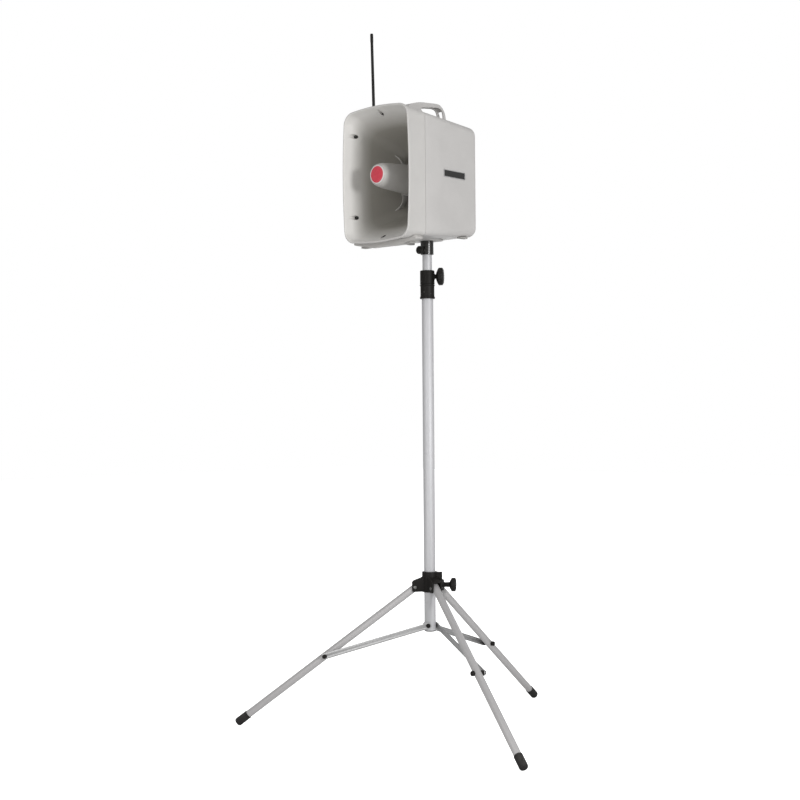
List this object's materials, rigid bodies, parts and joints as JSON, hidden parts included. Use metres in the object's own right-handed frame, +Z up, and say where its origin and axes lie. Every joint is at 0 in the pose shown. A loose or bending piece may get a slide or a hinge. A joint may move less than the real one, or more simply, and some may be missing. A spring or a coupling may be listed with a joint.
{
  "type": "pa speaker",
  "caption": "Portable horn loudspeaker with a carry handle and whip antenna on a telescoping pole with a folding tripod base.",
  "frame": {"origin": "on the floor under the middle of the object's box", "axes": "+Z up, horn mouth facing -Y, the plated side of the box facing +X"},
  "size_m": [0.9021, 0.8274, 1.818],
  "materials": {
    "tube_alloy": "satin anodised",
    "fitting_black": "fine texture",
    "pin_steel": "plated",
    "shell_grey": "fine texture",
    "horn_grey": "satin",
    "rubber_black": "matt",
    "plate_silver": "brushed, dark border",
    "badge_red": "gloss",
    "driver_alloy": "cast",
    "magnet_iron": "bare",
    "board_green": "coated",
    "whip_black": "satin sleeve",
    "strut_steel": "satin silver"
  },
  "bodies": {
    "column": {"lower_tube": "tube_alloy", "tube_plug": "fitting_black", "bracket_bolt_a": "fitting_black", "bracket_bolt_b": "fitting_black", "bracket_bolt_c": "fitting_black", "top_collar": "fitting_black"},
    "hub": {"hub": "fitting_black", "hub_pin_a": "pin_steel", "hub_pin_b": "pin_steel", "hub_pin_c": "pin_steel"},
    "mast": {"upper_tube": "tube_alloy", "mast_bush": "fitting_black"},
    "head": {"pole_socket": "fitting_black", "rear_box": "shell_grey", "rear_panel": "fitting_black", "horn_bell": "horn_grey", "seam_gasket": "rubber_black", "carry_handle": "shell_grey", "pedestal": "horn_grey", "front_pad_left": "rubber_black", "front_pad_right": "rubber_black", "rear_pad_left": "rubber_black", "rear_pad_right": "rubber_black", "side_plate": "plate_silver", "reflex_nose": "horn_grey", "nose_badge": "badge_red", "nose_spider": "horn_grey", "inner_tube": "horn_grey", "driver_body": "driver_alloy", "diaphragm": "driver_alloy", "driver_magnet": "magnet_iron", "antenna_base": "fitting_black", "battery_pack": "fitting_black", "amplifier_board": "board_green"},
    "collar_knob": {"collar_knob": "fitting_black"},
    "hub_knob": {"hub_knob": "fitting_black"},
    "socket_knob": {"socket_knob": "fitting_black"},
    "antenna": {"antenna_whip": "whip_black"},
    "mic_knob": {"mic_knob": "fitting_black"},
    "line_knob": {"line_knob": "fitting_black"},
    "power_switch": {"power_switch": "fitting_black"},
    "battery_door": {"battery_door": "fitting_black"},
    "leg_a": {"leg_tube_a": "tube_alloy", "leg_plug_a": "fitting_black", "foot_a": "rubber_black", "leg_rivet_a": "fitting_black"},
    "strut_a": {"strut_a": "strut_steel", "strut_rivet_a": "fitting_black"},
    "leg_b": {"leg_tube_b": "tube_alloy", "leg_plug_b": "fitting_black", "foot_b": "rubber_black", "leg_rivet_b": "fitting_black"},
    "strut_b": {"strut_b": "strut_steel", "strut_rivet_b": "fitting_black"},
    "leg_c": {"leg_tube_c": "tube_alloy", "leg_plug_c": "fitting_black", "foot_c": "rubber_black", "leg_rivet_c": "fitting_black"},
    "strut_c": {"strut_c": "strut_steel", "strut_rivet_c": "fitting_black"}
  },
  "joints": [
    {"name": "hub_slide", "type": "slide", "parent": "column", "child": "hub", "axis": [0, 0, 1], "range_m": [0, 0.4871]},
    {"name": "leg_a_fold", "type": "hinge", "parent": "hub", "child": "leg_a", "pos_m": [-0.05507, -0.12657, 0.3685], "axis": [0.5828, -0.8126, 0], "range_deg": [0, 52.91]},
    {"name": "strut_a_fold", "type": "hinge", "parent": "column", "child": "strut_a", "pos_m": [-0.02744, -0.10675, 0.2696], "axis": [0.5828, -0.8126, 0], "range_deg": [-99.99, 0]},
    {"name": "leg_b_fold", "type": "hinge", "parent": "hub", "child": "leg_b", "pos_m": [0.00871, -0.12026, 0.3685], "axis": [0.4123, 0.911, 0], "range_deg": [0, 52.91]},
    {"name": "strut_b_fold", "type": "hinge", "parent": "column", "child": "strut_b", "pos_m": [-0.02227, -0.10624, 0.2696], "axis": [0.4123, 0.911, 0], "range_deg": [-99.99, 0]},
    {"name": "leg_c_fold", "type": "hinge", "parent": "hub", "child": "leg_c", "pos_m": [-0.02864, -0.06818, 0.3685], "axis": [-0.9951, -0.0985, 0], "range_deg": [0, 52.91]},
    {"name": "strut_c_fold", "type": "hinge", "parent": "column", "child": "strut_c", "pos_m": [-0.0253, -0.10201, 0.2696], "axis": [-0.9951, -0.0985, 0], "range_deg": [-99.99, 0]},
    {"name": "mast_slide", "type": "slide", "parent": "column", "child": "mast", "axis": [0, 0, 1], "range_m": [-0.04, 0.48]},
    {"name": "head_turn", "type": "hinge", "parent": "mast", "child": "head", "pos_m": [-0.025, -0.105, 1.26], "axis": [0, 0, 1], "continuous": true},
    {"name": "collar_knob_turn", "type": "hinge", "parent": "column", "child": "collar_knob", "pos_m": [-0.00875, -0.09334, 1.18], "axis": [0.8126, 0.5828, 0], "range_deg": [0, 540]},
    {"name": "hub_knob_turn", "type": "hinge", "parent": "hub", "child": "hub_knob", "pos_m": [0.0075, -0.08169, 0.375], "axis": [0.8126, 0.5828, 0], "range_deg": [0, 540]},
    {"name": "socket_knob_turn", "type": "hinge", "parent": "head", "child": "socket_knob", "pos_m": [-0.025, -0.126, 1.2478], "axis": [0, -1, 0], "range_deg": [0, 540]},
    {"name": "antenna_fold", "type": "hinge", "parent": "head", "child": "antenna", "pos_m": [-0.119, -0.204, 1.593], "axis": [-1, 0, 0], "range_deg": [0, 88]},
    {"name": "mic_knob_turn", "type": "hinge", "parent": "head", "child": "mic_knob", "pos_m": [0.021, -0.0325, 1.505], "axis": [0, 1, 0], "range_deg": [0, 270]},
    {"name": "line_knob_turn", "type": "hinge", "parent": "head", "child": "line_knob", "pos_m": [-0.009, -0.0325, 1.505], "axis": [0, 1, 0], "range_deg": [0, 270]},
    {"name": "power_switch_rock", "type": "hinge", "parent": "head", "child": "power_switch", "pos_m": [-0.071, -0.037, 1.505], "axis": [-1, 0, 0], "range_deg": [0, 14]},
    {"name": "battery_door_open", "type": "hinge", "parent": "head", "child": "battery_door", "pos_m": [-0.025, -0.0325, 1.301], "axis": [-1, 0, 0], "range_deg": [0, 100]}
  ],
  "couplings": [
    {"joint": "leg_a_fold", "follows": "hub_slide", "rad_per_m": 1.8959},
    {"joint": "strut_a_fold", "follows": "hub_slide", "rad_per_m": -3.5826},
    {"joint": "leg_b_fold", "follows": "hub_slide", "rad_per_m": 1.8959},
    {"joint": "strut_b_fold", "follows": "hub_slide", "rad_per_m": -3.5826},
    {"joint": "leg_c_fold", "follows": "hub_slide", "rad_per_m": 1.8959},
    {"joint": "strut_c_fold", "follows": "hub_slide", "rad_per_m": -3.5826}
  ]
}
